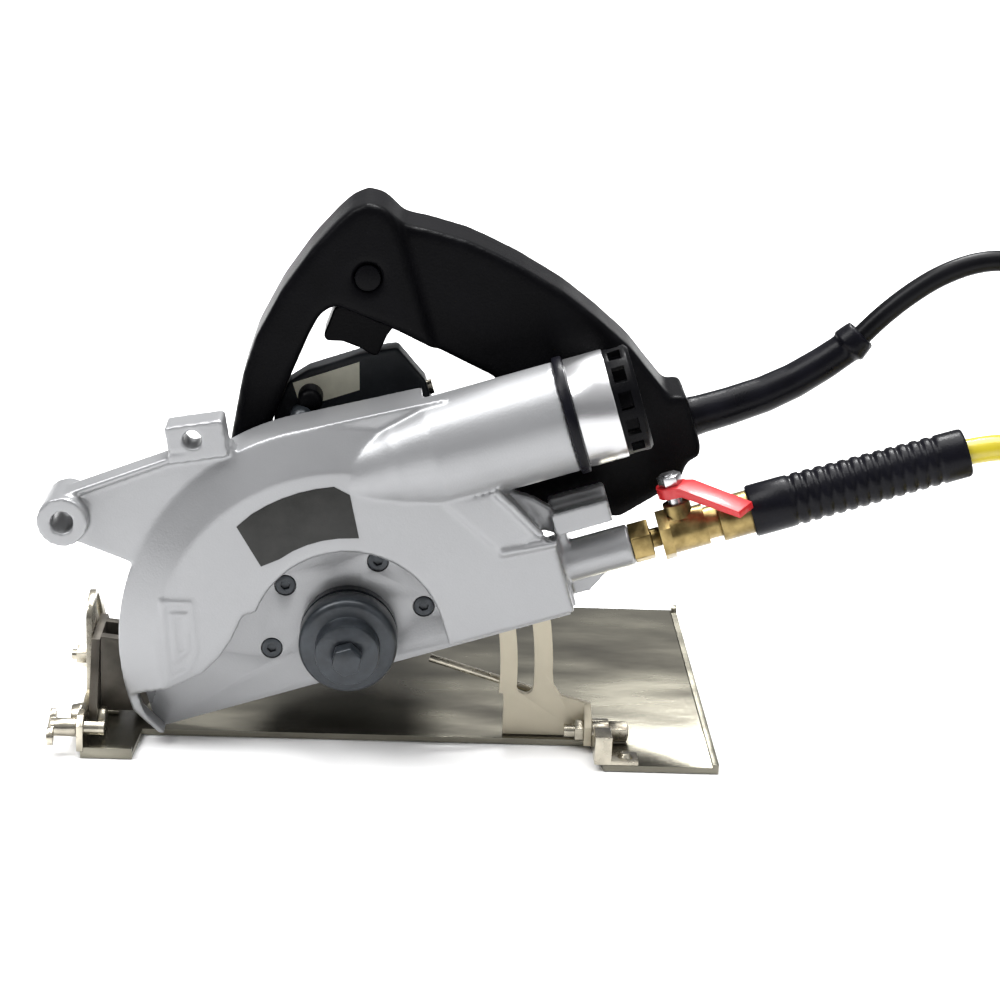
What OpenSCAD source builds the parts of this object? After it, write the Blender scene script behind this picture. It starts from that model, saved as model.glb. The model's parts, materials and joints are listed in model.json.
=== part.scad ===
// Hand-held wet saw for stone, with a tilting and dropping steel base.
// X runs from front to rear, +Y to the motor side, +Z up.
// The origin is the centre of the underside of the sole plate.

/* [Base] */
// Length of the sole plate
sole_length = 232; // [220:1:245]
// Width of the sole plate
sole_width = 165; // [155:1:175]
// Thickness of the sole plate
sole_t = 2.3; // [1.5:0.1:2.6]
// Height of the upturned rear lip
lip_h = 3.5; // [2:0.5:6]

/* [Blade guard] */
// Outer radius of the guard rim
guard_r = 81.5; // [80:0.5:83]
// Thickness of the cast walls
guard_wall = 3; // [2.5:0.1:3.5]
// Height of the conical band round the outer face
chamfer_h = 6; // [4:0.5:7]
// Radial width of that band
chamfer_w = 15; // [10:1:18]

/* [Spindle] */
// Radius of the blade flanges
flange_r = 17.8; // [15:0.2:20]
// Radius of the spindle shaft
spindle_r = 6; // [5:0.5:7]

/* [Motor] */
// Outer radius of the motor casing
motor_r = 32; // [30:0.5:32]
// Length of the motor casing behind the gear case
motor_len = 88; // [70:1:100]

/* [Handle] */
// Width of the handle across both shells
handle_w = 34; // [30:1:36]

/* [Air duct] */
// Outer radius of the exhaust duct
duct_r = 20; // [18:0.5:21]

/* [Water line] */
// Outer radius of the hose grip sleeve
sleeve_r = 9.6; // [8.5:0.1:10]
// Outer radius of the water hose
hose_r = 4.8; // [4:0.1:5]

/* [Power cord] */
// Outer radius of the power cord
cord_r = 4; // [3:0.1:4.5]

/* [Hidden] */
$fn = 64;
pitch = 18;                      // nose-down tilt of the saw on its base at rest
spindle_x = -20.5;
spindle_z = 43.6;

outer_y = -75;                   // outer face of the guard
inner_y = -61;                   // front face of the inner guard plate
plate_y = -57.5;                 // back face of the inner guard plate
skirt_y = -45;                   // back edge of the upper guard skirt
guard_cx = -2;
guard_cz = -1;
guard_floor = -16.5;             // lowest line of the inner plate
outer_floor = -11;               // lowest line of the outer wall, rear half
rear_x = 83;                     // rear end of the guard
recess_y = -60;                  // edge of the blade recess in the sole
recess_x0 = -96;
recess_x1 = 70;

tilt_y = -62;                    // bevel axis, along X
tilt_z = 7;
drop_x = -94;                    // depth axis, along Y
drop_z = 26;
arm_r = 139.3;                   // radius of the depth slot about the depth axis
arm_y = -57.2;                   // front face of the depth quadrant
arm_t = 2.5;
stud_angle = 12.35;              // angle of the depth stud at rest

motor_x = 4;
motor_z = 18.05;
gear_m = 1;
gear_teeth = 28;
pinion_teeth = 9;
motor_y = -38;                   // front face of the motor casing

handle_y = -23;                  // parting plane of the handle
duct_y = -62;
duct_z = 57;
water_y = -62;
water_z = 4;

// ---- helpers -------------------------------------------------------------

// Puts children drawn in the saw's own frame on the base. That frame has its
// origin on the spindle axis, x toward the rear and z away from the blade gap.
module saw_frame() {
    translate([spindle_x, 0, spindle_z]) rotate([0, -pitch, 0]) children();
}

// Extrudes a flat x-z outline from y0 to y1.
module slab(y0, y1) {
    translate([0, y1, 0]) rotate([90, 0, 0])
        linear_extrude(height = y1 - y0) children();
}

// Round bar along Y, centred on x, z.
module bar_y(x, z, y0, y1, r) {
    translate([x, y1, z]) rotate([90, 0, 0]) cylinder(h = y1 - y0, r = r);
}

// Round bar along X, centred on y, z.
module bar_x(x0, x1, y, z, r, r2 = -1) {
    translate([x0, y, z]) rotate([0, 90, 0])
        cylinder(h = x1 - x0, r1 = r, r2 = (r2 < 0) ? r : r2);
}

// Hexagon bar along Y.
module hex_y(x, z, y0, y1, r) {
    translate([x, y1, z]) rotate([90, 0, 0]) cylinder(h = y1 - y0, r = r, $fn = 6);
}

// Hexagonal bar along X.
module hex_x(x0, x1, y, z, r) {
    translate([x0, y, z]) rotate([0, 90, 0]) cylinder(h = x1 - x0, r = r, $fn = 6);
}

// Box given by two opposite corners.
module block(p, q) {
    translate(p) cube([q[0] - p[0], q[1] - p[1], q[2] - p[2]]);
}

// Rectangle given by two opposite corners.
module rect(p, q) {
    translate(p) square([q[0] - p[0], q[1] - p[1]]);
}

function lerp(a, b, t) = a + (b - a) * t;

// Point of a smooth curve through a list of points, at a run of u = 0 .. n-1.
function spline_at(p, u) =
    let (n = len(p), i = min(floor(u), n - 2), t = u - i,
         a = p[max(i - 1, 0)], b = p[i], c = p[i + 1], d = p[min(i + 2, n - 1)])
    0.5 * (2 * b + (c - a) * t + (2 * a - 5 * b + 4 * c - d) * t * t
           + (3 * b - a - 3 * c + d) * t * t * t);

function unit(v) = v / norm(v);

// Closed tube of radius r swept along a smooth curve through the points.
module tube(points, r, rings, sides) {
    n = len(points) - 1;
    c = [for (k = [0:rings]) spline_at(points, k * n / rings)];
    dir = [for (k = [0:rings]) unit(c[min(k + 1, rings)] - c[max(k - 1, 0)])];
    side = [for (k = [0:rings]) unit(cross(dir[k], [0, 1, 0.2]))];
    verts = [for (k = [0:rings]) for (s = [0:sides - 1])
        let (a = 360 * s / sides)
        c[k] + r * (cos(a) * side[k] + sin(a) * cross(dir[k], side[k]))];
    faces = concat(
        [[for (s = [0:sides - 1]) s]],
        [for (k = [0:rings - 1]) for (s = [0:sides - 1])
            [k * sides + s, (k + 1) * sides + s,
             (k + 1) * sides + (s + 1) % sides, k * sides + (s + 1) % sides]],
        [[for (s = [sides - 1:-1:0]) rings * sides + s]]);
    polyhedron(points = verts, faces = faces, convexity = 4);
}

// Flat curved slot of half width w along an arc of radius r about c.
module arc_slot(c, r, w, a0, a1) {
    translate(c) {
        arc_band(r, w, a0, a1);
        for (a = [a0, a1]) translate(r * [cos(a), sin(a)]) circle(r = w);
    }
}

// Flat ring sector about the origin.
module arc_band(r, w, a0, a1) {
    intersection() {
        difference() {
            circle(r = r + w, $fn = 128);
            circle(r = r - w, $fn = 128);
        }
        polygon([[0, 0], 2 * r * [cos(a0), sin(a0)],
                 2 * r * [cos((a0 + a1) / 2), sin((a0 + a1) / 2)],
                 2 * r * [cos(a1), sin(a1)]]);
    }
}

// ---- base ----------------------------------------------------------------

sole_x = sole_length / 2;
sole_y = sole_width / 2;

module sole_plate() color("lightgray") {
    difference() {
        block([-sole_x, -sole_y, 0], [sole_x, sole_y, sole_t]);
        // blade recess along the near side
        linear_extrude(height = 20, center = true)
            polygon([[recess_x0, recess_y], [recess_x1, recess_y],
                     [recess_x1 + 4, -sole_y - 1], [recess_x0 - 1.5, -sole_y - 1]]);
    }
    // upturned rear lip and its rounded far end
    block([sole_x - sole_t, -sole_y, sole_t], [sole_x, sole_y, lip_h]);
    bar_x(sole_x - sole_t, sole_x, sole_y - 4, lip_h, 2.5);
    // hemmed front edge of the near ear
    block([quad_x1 + 0.1, -sole_y, sole_t], [recess_x0 - 1.5, -sole_y + 3, sole_t + 1.6]);
}

quad_x0 = -117.4;                // the fixed quadrant plate stands across X
quad_x1 = -115;

lock_r = 44;                     // radius of the bevel slot
lock_a = 9;                      // angle of the lock stud at rest

module bevel_quadrant() color("silver") {
    translate([quad_x0, 0, 0]) rotate([90, 0, 90])
        linear_extrude(height = quad_x1 - quad_x0) difference() {
            polygon([[-82.5, 2.3], [-82.5, 12], [-79, 15], [-73, 15], [-67, 12.5],
                     [-52, 14], [-52, 42], [-50, 46], [-45, 48.3], [-39, 49],
                     [-32, 46.5], [-21, 39.7], [-3, 21], [8, 10], [12, 2.3]]);
            translate([tilt_y, tilt_z]) circle(r = 2.55);
            arc_slot([tilt_y, tilt_z], lock_r, 2.7, lock_a, lock_a + 45);
            translate([wing_y, wing_z]) circle(r = 2.55);
            translate([-42, 24]) circle(r = 2.05);
        }
    // foot that lies on the sole
    block([quad_x1 - 0.5, -48, sole_t], [quad_x1 + 9, 10, sole_t + 1.8]);
}

lug_x = 76.5;

module rear_pivot_lug() color("silver")
    difference() {
        union() {
            block([lug_x - 6.2, -sole_y, sole_t], [lug_x, -56, 7]);
            bar_x(lug_x - 6.2, lug_x, tilt_y, tilt_z, tilt_z - sole_t);
            block([lug_x - 6.2, -sole_y, sole_t], [lug_x, -sole_y + 10, 13]);
            block([lug_x - 0.5, -sole_y, sole_t], [lug_x + 10, -73, sole_t + 1.5]);
        }
        bar_x(lug_x - 8, lug_x + 12, tilt_y, tilt_z, 2.55);
    }

module base_screws() color("gainsboro") {
    // rivets in the foot of the quadrant
    for (y = [-35, -5]) translate([quad_x1 + 6.6, y, sole_t + 1.8])
        cylinder(h = 1.4, r1 = 2.3, r2 = 1.5);
    // rivet in the foot of the rear lug
    translate([lug_x + 5.5, -77.5, sole_t + 1.5]) cylinder(h = 1.6, r1 = 3, r2 = 1.8);
    // bevel stop screw and its lock nut
    bar_x(quad_x0 - 6.5, quad_x1, -42, 24, 2);
    hex_x(quad_x0 - 4.5, quad_x0, -42, 24, 4);
}

wing_y = -76;
wing_z = 9;

module guide_wing_screw() color("gainsboro") {
    bar_x(-127, -118, wing_y, wing_z, 3.4);
    bar_x(-118.1, -108, wing_y, wing_z, 2.5);
    for (s = [-1, 1]) translate([-128, wing_y, wing_z]) rotate([20, 0, 0])
        translate([0, s * 5, 0]) rotate([0, 90, 0]) cylinder(h = 2.2, r = 3.4);
    translate([-128, wing_y, wing_z]) rotate([20, 0, 0])
        block([0, -5, -2.4], [2.2, 5, 2.4]);
}

// ---- tilting frame ---------------------------------------------------------

module front_bracket() color("dimgray")
    difference() {
        union() {
            // wall beside the quadrant
            translate([-114.7, 0, 0]) rotate([90, 0, 90]) linear_extrude(height = 3) {
                polygon([[-67, 7.5], [-67, 13], [-57, 36], [-30, 36], [-12, 20],
                         [-12, 7], [-18, 4.6], [-62, 4.6]]);
                translate([tilt_y, tilt_z]) circle(r = 4.4);
            }
            // two ears that carry the depth axis
            for (y = [-54, -38])
                slab(y, y + 4) polygon([[-112, 7], [-112, 36], [-94, 34], [-87, 29],
                                        [-87, 22], [-96, 7]]);
        }
        bar_y(drop_x, drop_z, -60, -30, 4.05);
        bar_x(-116, -111, tilt_y, tilt_z, 2.55);
        bar_x(-116, -111, lock_y, lock_z, 2.45);
    }

lock_y = tilt_y + lock_r * cos(lock_a);
lock_z = tilt_z + lock_r * sin(lock_a);

module frame_bolts() color("silver") {
    // bolt of the depth axis
    bar_y(drop_x, drop_z, -54, -33.8, 4);
    hex_y(drop_x, drop_z, -56.5, -54, 6.5);
    hex_y(drop_x, drop_z, -34, -30, 6.5);
    // stud of the bevel lock
    bar_x(-124.5, -111.7, lock_y, lock_z, 2.4);
    hex_x(-111.7, -108.5, lock_y, lock_z, 4.5);
}

module bevel_lock_nut() color("silver")
    difference() {
        union() {
            hex_x(-123, quad_x0 - 1.8, lock_y, lock_z, 5);
            bar_x(quad_x0 - 1.8, quad_x0 - 0.3, lock_y, lock_z, 6.5);
        }
        bar_x(-125, -116, lock_y, lock_z, 2.48);
    }

function arm_at(r, a) = [drop_x + r * cos(a), drop_z + r * sin(a)];

slot_low = -1.65;
slot_high = 13.35;

module depth_quadrant() color("wheat")
    difference() {
        union() {
            slab(arm_y, arm_y + arm_t) {
                polygon([[37.5, 2.9], [70, 2.9], [70, 15.5], [59, 18.5], [55.8, 23],
                         [55.2, 28], [36, 28], [37.5, 16]]);
                translate([drop_x, drop_z]) arc_band(arm_r + 0.2, 9.7, -3, 15.7);
            }
            // bent flange that takes the rear pivot pin
            translate([67.4, 0, 0]) rotate([90, 0, 90]) linear_extrude(height = 2.6)
                polygon([[arm_y, 2.9], [-67, 2.9], [-67, 10], [-63, 13.5], [arm_y, 15.5]]);
        }
        slab(arm_y - 1, arm_y + 4)
            arc_slot([drop_x, drop_z], arm_r, 3.15, slot_low, slot_high);
        bar_x(66, 72, tilt_y, tilt_z, 2.55);
    }

module bevel_pivot_pins() color("silver") {
    // front pin with a domed head
    bar_x(-121, -111, tilt_y, tilt_z, 2.5);
    bar_x(-121.5, -117.7, tilt_y, tilt_z, 4.8, 5.6);
    bar_x(-111.7, -109, tilt_y, tilt_z, 4.4);
    // rear pin with a lock nut
    bar_x(60, 84, tilt_y, tilt_z, 2.5);
    hex_x(64, 67.4, tilt_y, tilt_z, 4.2);
    hex_x(lug_x + 0.3, lug_x + 7, tilt_y, tilt_z, 4.2);
}

lever_x = 55.5;
lever_z = 14.5;

module depth_lock_lever() color("silver") {
    bar_y(lever_x, lever_z, arm_y + arm_t + 0.3, -45.4, 3.6);
    translate([lever_x, -47, lever_z]) rotate([0, -90 + 17, 0]) cylinder(h = 48, r = 1.5);
}

// ---- guard and gear case --------------------------------------------------

// Outline of the guard at a wall depth t inside its outer face: a disc with a
// square rear corner and a straight shoulder up to the duct, cut off below.
module guard_outline(t, floor_z) {
    difference() {
        union() {
            guard_disc(guard_r - t);
            rect([0, floor_z], [rear_x - t, 15.3 - t]);
            polygon([[0, guard_r + guard_cz - t - 0.03], [shoulder_x - t, 77 - t],
                     [shoulder_x - t, 40], [0, 40]]);
        }
        rect([-100, -100], [100, floor_z]);
    }
}

module guard_disc(r) {
    translate([guard_cx, guard_cz]) circle(r = r, $fn = 128);
}

shoulder_x = 58;

// Cut-out in the outer wall that bares the spindle.
module flange_window() {
    circle(r = 35, $fn = 96);
    polygon([[35, 0], [35, -20], [-90, -20], [-90, 1], [-66, 1.8], [-54, 3.6],
             [-46, 8], [-40, 13], [-33, 21], [0, 20]]);
}

// Raised outer face of the guard with its conical band.
module outer_face() {
    difference() {
        union() {
            translate([guard_cx, outer_y + chamfer_h, guard_cz]) rotate([90, 0, 0])
                cylinder(h = chamfer_h, r1 = guard_r, r2 = guard_r - chamfer_w, $fn = 128);
            slab(outer_y, outer_y + chamfer_h)
                polygon([[10, outer_floor], [rear_x - 1, outer_floor], [rear_x - 1, 15.3],
                         [76.5, 21.4], [68, 40], [52, 52], [30, 58], [0, 30]]);
        }
        slab(outer_y - 1, outer_y + chamfer_h + 1) {
            flange_window();
            rect([-100, -100], [100, outer_floor]);
        }
    }
}

module guard_shell() color("silver") saw_frame() {
    difference() {
        union() {
            slab(outer_y + chamfer_h, inner_y) {
                guard_outline(0, outer_floor);
                // front end of the rim, which reaches lower
                intersection() {
                    guard_disc(guard_r);
                    rect([-90, guard_floor], [-60, 0]);
                }
            }
            outer_face();
            // upper skirt behind the blade chamber
            slab(inner_y - 0.5, skirt_y) difference() {
                guard_outline(0.02, 40);
                guard_outline(guard_wall, 30);
                rect([50, -100], [100, 100]);
            }
        }
        // blade chamber, with a conical band that follows the outer face
        slab(outer_y + chamfer_h + 0.5, inner_y + 1) guard_outline(guard_wall, -40);
        translate([guard_cx, outer_y + chamfer_h + 0.51, guard_cz]) rotate([90, 0, 0])
            cylinder(h = 3.01, r1 = guard_r - guard_wall, r2 = 70, $fn = 128);
        slab(outer_y + 3.5, outer_y + 8) rect([0, -40], [rear_x - guard_wall, 12]);
        // slanting cut under the front end of the rim
        slab(-80, -40) polygon([[-100, -3], [-84.5, -3], [-77, -16.6], [-77, -30], [-100, -30]]);
    }
    // wall that closes the slanting cut
    slab(outer_y + chamfer_h, inner_y)
        polygon([[-83.3, -5], [-76.95, -16.5], [-74.9, -16.5], [-80.9, -5]]);
}

boss_x = -83.5;
boss_z = 72.9;
clamp_x = -30.8;
clamp_z = 88.1;

module front_boss_arm() color("silver") saw_frame()
    difference() {
        union() {
            bar_y(boss_x, boss_z, -76, -51, 9);
            slab(-69, -61) difference() {
                polygon([[-84, 63.9], [-64, 48], [-20, 70], [-18, 82], [-41, 83],
                         [-80, 81.2]]);
                guard_disc(guard_r + 0.02);
            }
            slab(-71, -59) polygon([[-80, 79], [-80, 81.5], [-40, 84], [-38, 82]]);
            // split clamp block
            translate([-29.6, -58, 87.6]) rotate([90, 8, 0])
                linear_extrude(height = 14) difference() {
                    rect([-10.4, -7.5], [10.4, 6.1]);
                    rect([-12, -4.2], [-4, -3]);
                }
        }
        bar_y(boss_x, boss_z, -80, -45, 4);
        bar_y(clamp_x, clamp_z, -75, -50, 3.3);
    }

module inner_guard_plate() color("silver") saw_frame()
    difference() {
        slab(inner_y, plate_y) guard_outline(guard_wall + 0.2, guard_floor);
        slab(inner_y - 1, plate_y + 1) rect([-90, -40], [-78.5, 60]);
        bar_y(0, 0, -70, -50, 13.05);
        for (p = screw_places) {
            bar_y(p[0], p[1], inner_y - 1, inner_y + 2.2, 4);
            bar_y(p[0], p[1], -70, -50, 2.15);
        }
        // hole of the depth stud
        bar_y(stud_place[0], stud_place[1], -70, -50, 3.05);
    }

screw_r = 29;
screw_places = [for (a = [52, 3, 126, 177]) screw_r * [cos(a), sin(a)]];

// Depth stud in the saw's own frame.
stud_world = arm_at(arm_r, stud_angle) - [spindle_x, spindle_z];
stud_place = [stud_world[0] * cos(pitch) + stud_world[1] * sin(pitch),
              -stud_world[0] * sin(pitch) + stud_world[1] * cos(pitch)];

module socket_screws() color("black") saw_frame() {
    for (p = screw_places) difference() {
        union() {
            bar_y(p[0], p[1], inner_y + 0.2, inner_y + 2.2, 3.6);
            bar_y(p[0], p[1], inner_y + 2.2, -51, 2.1);
        }
        hex_y(p[0], p[1], inner_y - 1, inner_y + 1.5, 1.8);
    }
}

module depth_stud() color("silver") saw_frame() {
    bar_y(stud_place[0], stud_place[1], inner_y - 2, -49, 3);
    hex_y(stud_place[0], stud_place[1], inner_y - 3, inner_y - 0.02, 5.5);
    bar_y(stud_place[0], stud_place[1], -54.4, -50.5, 5.2);
}

module gear_case() color("darkgray") saw_frame()
    difference() {
        union() {
            slab(plate_y, motor_y - 2) union() {
                intersection() {
                    translate([0, 1.5]) circle(r = 19.5);
                    rect([-40, -15.9], [40, 40]);
                }
                translate([motor_x, motor_z]) circle(r = 16);
                rect([-20, 0], [19.5, 18]);
            }
            slab(plate_y, plate_y + 5) union() {
                rect([-36, -6], [-15, 30]);
                rect([-15, 0], [22, 32]);
            }
            // flange that carries the motor casing
            slab(motor_y - 6, motor_y) union() {
                translate([motor_x, motor_z]) circle(r = motor_r);
                rect([-26, 20], [34, 49]);
            }
            // knuckle of the depth axis, and the strut to it
            bar_y(-75.3, 6, -49.7, -38.3, 7.5);
            slab(-49.7, -40) polygon([[-75, -1.3], [-75, 13.3], [-20, 22], [-20, -2]]);
            slab(plate_y, -44) polygon([[-63, 10], [-50, 4], [-50, 20], [-60, 16]]);
        }
        // gear chamber
        bar_y(0, 0, -53, -44.5, 15.15);
        bar_y(motor_x, motor_z, -53, -44.5, 6.6);
        // seats of the spindle bearings
        bar_y(0, 0, plate_y - 1, -52, 13.05);
        bar_y(0, 0, -46, -42, 10.05);
        bar_y(motor_x, motor_z, -60, -30, 4.3);
        bar_y(motor_x, motor_z, -44, -37, 8.05);
        bar_y(-75.3, 6, -60, -30, 4.08);
        for (p = screw_places) bar_y(p[0], p[1], -60, -50.8, 2.15);
    }

// Ring with a bore, along Y.
module ring_y(x, z, y0, y1, r, bore) {
    difference() {
        bar_y(x, z, y0, y1, r);
        bar_y(x, z, y0 - 1, y1 + 1, bore);
    }
}

module ball_bearings() color("lightsteelblue") saw_frame() {
    ring_y(0, 0, -60.5, -53.5, 13, spindle_r + 0.05);
    ring_y(0, 0, -46, -42.2, 10, 4.05);
    ring_y(motor_x, motor_z, -43.8, -38.4, 8, 4.05);
    ring_y(motor_x, motor_z, motor_y + motor_len - 12, motor_y + motor_len - 6, 8, 4.05);
}

// ---- blade spindle ---------------------------------------------------------

// Spur gear with straight-sided teeth, centred on the origin.
module gear_profile(teeth, turn, thick) {
    rp = gear_m * teeth / 2;
    rotate(turn) union() {
        circle(r = rp - 1.05 * gear_m, $fn = 96);
        for (k = [0:teeth - 1]) rotate(k * 360 / teeth)
            polygon([[rp - 1.2 * gear_m, -0.62 * thick], [rp, -0.5 * thick],
                     [rp + 0.75 * gear_m, -0.22 * thick], [rp + 0.75 * gear_m, 0.22 * thick],
                     [rp, 0.5 * thick], [rp - 1.2 * gear_m, 0.62 * thick]]);
    }
}

mesh_angle = atan2(motor_z, motor_x);

module spindle() color("silver") saw_frame() {
    bar_y(0, 0, -76, -49.5, spindle_r);
    bar_y(0, 0, -49.6, -42.4, 4);
}

module spindle_gear() color("dimgray") saw_frame()
    difference() {
        slab(-52.5, -46.4) gear_profile(gear_teeth, mesh_angle, 1.35);
        bar_y(0, 0, -60, -49.5, spindle_r);
        bar_y(0, 0, -60, -40, 4);
    }

module inner_flange() color("dimgray") saw_frame()
    ring_y(0, 0, -65.2, -61.3, flange_r, spindle_r);

module outer_flange() color("black") saw_frame()
    difference() {
        union() {
            bar_y(0, 0, -76, -66.5, flange_r);
            translate([0, -76, 0]) rotate([90, 0, 0])
                cylinder(h = 1.6, r1 = flange_r, r2 = flange_r - 1.6);
            bar_y(0, 0, -86, -77, 11.5);
        }
        bar_y(0, 0, -76, -60, spindle_r);
        bar_y(0, 0, -90, -60, 3.6);
    }

module flange_bolt() color("black") saw_frame() {
    hex_y(0, 0, -93, -86, 5.6);
    bar_y(0, 0, -86.02, -76, 3.5);
}

// ---- motor -----------------------------------------------------------------

core_y0 = motor_y + 20;
core_y1 = core_y0 + 34;

module armature_shaft() color("silver") saw_frame() {
    bar_y(motor_x, motor_z, -46.2, motor_y + motor_len - 6.2, 4);
    translate([motor_x, 0, motor_z]) slab(-52.5, -46.2)
        gear_profile(pinion_teeth, mesh_angle + 180 + 180 / pinion_teeth, 1.35);
}

module armature_core() color("slategray") saw_frame()
    difference() {
        bar_y(motor_x, motor_z, core_y0, core_y1, 15);
        bar_y(motor_x, motor_z, core_y0 - 1, core_y1 + 1, 4);
        for (a = [0:30:330])
            translate([motor_x, 0, motor_z]) rotate([0, a, 0])
                block([12, core_y0 - 1, -0.8], [16, core_y1 + 1, 0.8]);
    }

module commutator() color("peru") saw_frame()
    ring_y(motor_x, motor_z, core_y1 + 3, core_y1 + 15, 9, 4);

module cooling_fan() color("white") saw_frame() {
    ring_y(motor_x, motor_z, motor_y + 4, motor_y + 6, 24, 4);
    for (a = [0:30:330]) translate([motor_x, 0, motor_z]) rotate([0, a, 0])
        block([8, motor_y + 5.9, -0.8], [23.5, motor_y + 13, 0.8]);
}

module stator() color("slategray") saw_frame()
    difference() {
        bar_y(motor_x, motor_z, core_y0, core_y1, 25);
        bar_y(motor_x, motor_z, core_y0 - 1, core_y1 + 1, 15.6);
    }

module motor_housing() color("black") saw_frame()
    difference() {
        union() {
            bar_y(motor_x, motor_z, motor_y, motor_y + 68.5, motor_r);
            // saddle under the handle
            slab(handle_y - 12, handle_y + 12) rect([-22, 40], [32, 51.3]);
        }
        bar_y(motor_x, motor_z, motor_y - 1, motor_y + 14, 26);
        bar_y(motor_x, motor_z, motor_y + 13, motor_y + 69, 25);
        // brush holders
        for (s = [-1, 1]) bar_at_brush(s, 10, 40, 4.6);
    }

brush_y = core_y1 + 9;

// Bar along the brush axis, on the side s of the motor.
module bar_at_brush(s, from, to, r) {
    translate([motor_x, brush_y, motor_z]) rotate([0, s * 90 + 15, 0])
        translate([0, 0, from]) cylinder(h = to - from, r = r);
}

module carbon_brushes() color("dimgray") saw_frame()
    for (s = [-1, 1]) bar_at_brush(s, 9.2, 27, 3);

module brush_caps() color("black") saw_frame()
    for (s = [-1, 1]) difference() {
        bar_at_brush(s, 27.3, 34, 4.5);
        translate([motor_x, brush_y, motor_z]) rotate([0, s * 90 + 15, 0])
            block([-3.4, -0.6, 33], [3.4, 0.6, 35]);
    }

cap_y0 = motor_y + 68.55;
cap_y1 = motor_y + motor_len;

module motor_end_cap() color("black") saw_frame()
    difference() {
        union() {
            bar_y(motor_x, motor_z, cap_y0, cap_y1 - 4, motor_r - 0.5);
            translate([motor_x, cap_y1, motor_z]) rotate([90, 0, 0])
                cylinder(h = 4, r1 = motor_r - 6, r2 = motor_r - 0.5);
        }
        bar_y(motor_x, motor_z, cap_y0 - 1, cap_y1 - 12, 27);
        bar_y(motor_x, motor_z, cap_y0 - 1, cap_y1 - 5.5, 8.05);
        // air inlet slots
        for (a = [-60:15:60]) for (s = [0, 180])
            translate([motor_x, 0, motor_z]) rotate([0, a + s, 0])
                block([12, cap_y1 - 14, -1.2], [24, cap_y1 + 1, 1.2]);
        for (a = [45:90:315]) translate([motor_x, 0, motor_z]) rotate([0, a + 45, 0])
            translate([27.8, 0, 0]) bar_y(0, 0, cap_y0 - 1, cap_y1 + 1, 1.9);
    }

module motor_front_cover() color("black") saw_frame()
    difference() {
        slab(-22, -11) polygon([[-12.4, 62.3], [-7.3, 76], [1.2, 86.4], [10, 89], [30, 89.5],
                                [44, 88], [50.5, 73], [50.5, 62.3]]);
        slab(-19, -10) polygon([[-9, 65], [-5, 75], [3, 84], [11, 86], [42, 85], [47.5, 72],
                                [47.5, 65]]);
    }

module case_screws() color("silver") saw_frame() {
    for (a = [45:90:315]) translate([motor_x, 0, motor_z]) rotate([0, a + 45, 0])
        translate([27.8, 0, 0]) {
            bar_y(0, 0, cap_y0 - 8, cap_y1 - 2, 1.85);
            bar_y(0, 0, cap_y1 - 2.2, cap_y1 + 0.5, 3.2);
        }
    bar_y(6, 69, -23.6, -22, 3.2);
    bar_x(50.5, 52.2, -16.5, 69, 2.8);
}

module rating_label() color("beige") saw_frame()
    slab(-22.35, -22) polygon([[3, 76], [3, 86], [29, 86.8], [26, 76.5]]);

module name_badge() color("dimgray") saw_frame()
    slab(outer_y - 0.35, outer_y) polygon(concat(
        [[-21.1, 37.3], [-25, 54]],
        [for (a = [108:-6:78]) 59.9 * [cos(a), sin(a)]],
        [[17, 54.1], [15.5, 37.8]],
        [for (a = [78:8:110]) 40.6 * [cos(a), sin(a)]]));

// ---- handle ----------------------------------------------------------------

// Outer outline of the closed handle.
module handle_outline() {
    polygon([[-25, 51.6], [-24.5, 73], [-11.5, 98], [-3, 110], [11, 124], [25.5, 135.2],
             [38, 142.8], [44, 145.6], [50, 146.2], [55, 143.5], [58.7, 137.6],
             [60, 134.5], [68.6, 130], [81, 122], [90, 114.2], [97, 107.5], [109, 94.5],
             [118, 82], [127, 67.5], [131.7, 56], [136, 46], [142, 45], [142.4, 24.6],
             [141, 20.4], [136, 20], [132, 14], [124, 11], [106, 6], [92, 12],
             [62, 28], [37, 34], [37, 51.6]]);
}

// Finger space inside the handle.
module handle_opening() {
    polygon([[-13, 62], [-8, 76], [5, 92.4], [16, 105.5], [22.3, 111.9], [28, 113.4],
             [46, 99], [76, 71], [80, 62]]);
}

module handle_half(y0, y1) {
    difference() {
        slab(y0, y1) difference() {
            handle_outline();
            handle_opening();
        }
        // pocket of the trigger and its switch
        slab(handle_y - 9.3, handle_y + 9.3)
            polygon([[18, 96], [14, 109], [24, 124], [60, 124], [84, 108], [58, 84]]);
        // channel of the cord guard
        bar_x(120, 150, handle_y, 32.5, 7.55);
        for (p = handle_screw_places) bar_y(p[0], p[1], handle_y - 12.2, 20, 1.85);
        bar_y(pivot_x, pivot_z, handle_y - 13, handle_y + 13, 2.05);
        bar_y(button_x, button_z, -45, handle_y - 4, 4.7);
    }
}

handle_screw_places = [[-16, 64], [40, 135], [104, 84], [122, 50], [104, 24]];
pivot_x = 46;
pivot_z = 112;
button_x = 42.6;
button_z = 120.3;

module handle_near_shell() color("black") saw_frame()
    handle_half(handle_y - handle_w / 2, handle_y - 0.05);

module handle_far_shell() color("black") saw_frame()
    handle_half(handle_y + 0.05, handle_y + handle_w / 2);

module handle_screws() color("silver") saw_frame() {
    for (p = handle_screw_places) {
        bar_y(p[0], p[1], handle_y - 12, handle_y + handle_w / 2, 1.8);
        bar_y(p[0], p[1], handle_y + handle_w / 2, handle_y + handle_w / 2 + 1.6, 3.4);
    }
    // hinge pin of the trigger
    bar_y(pivot_x, pivot_z, handle_y - 12.9, handle_y + 12.9, 2);
}

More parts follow.
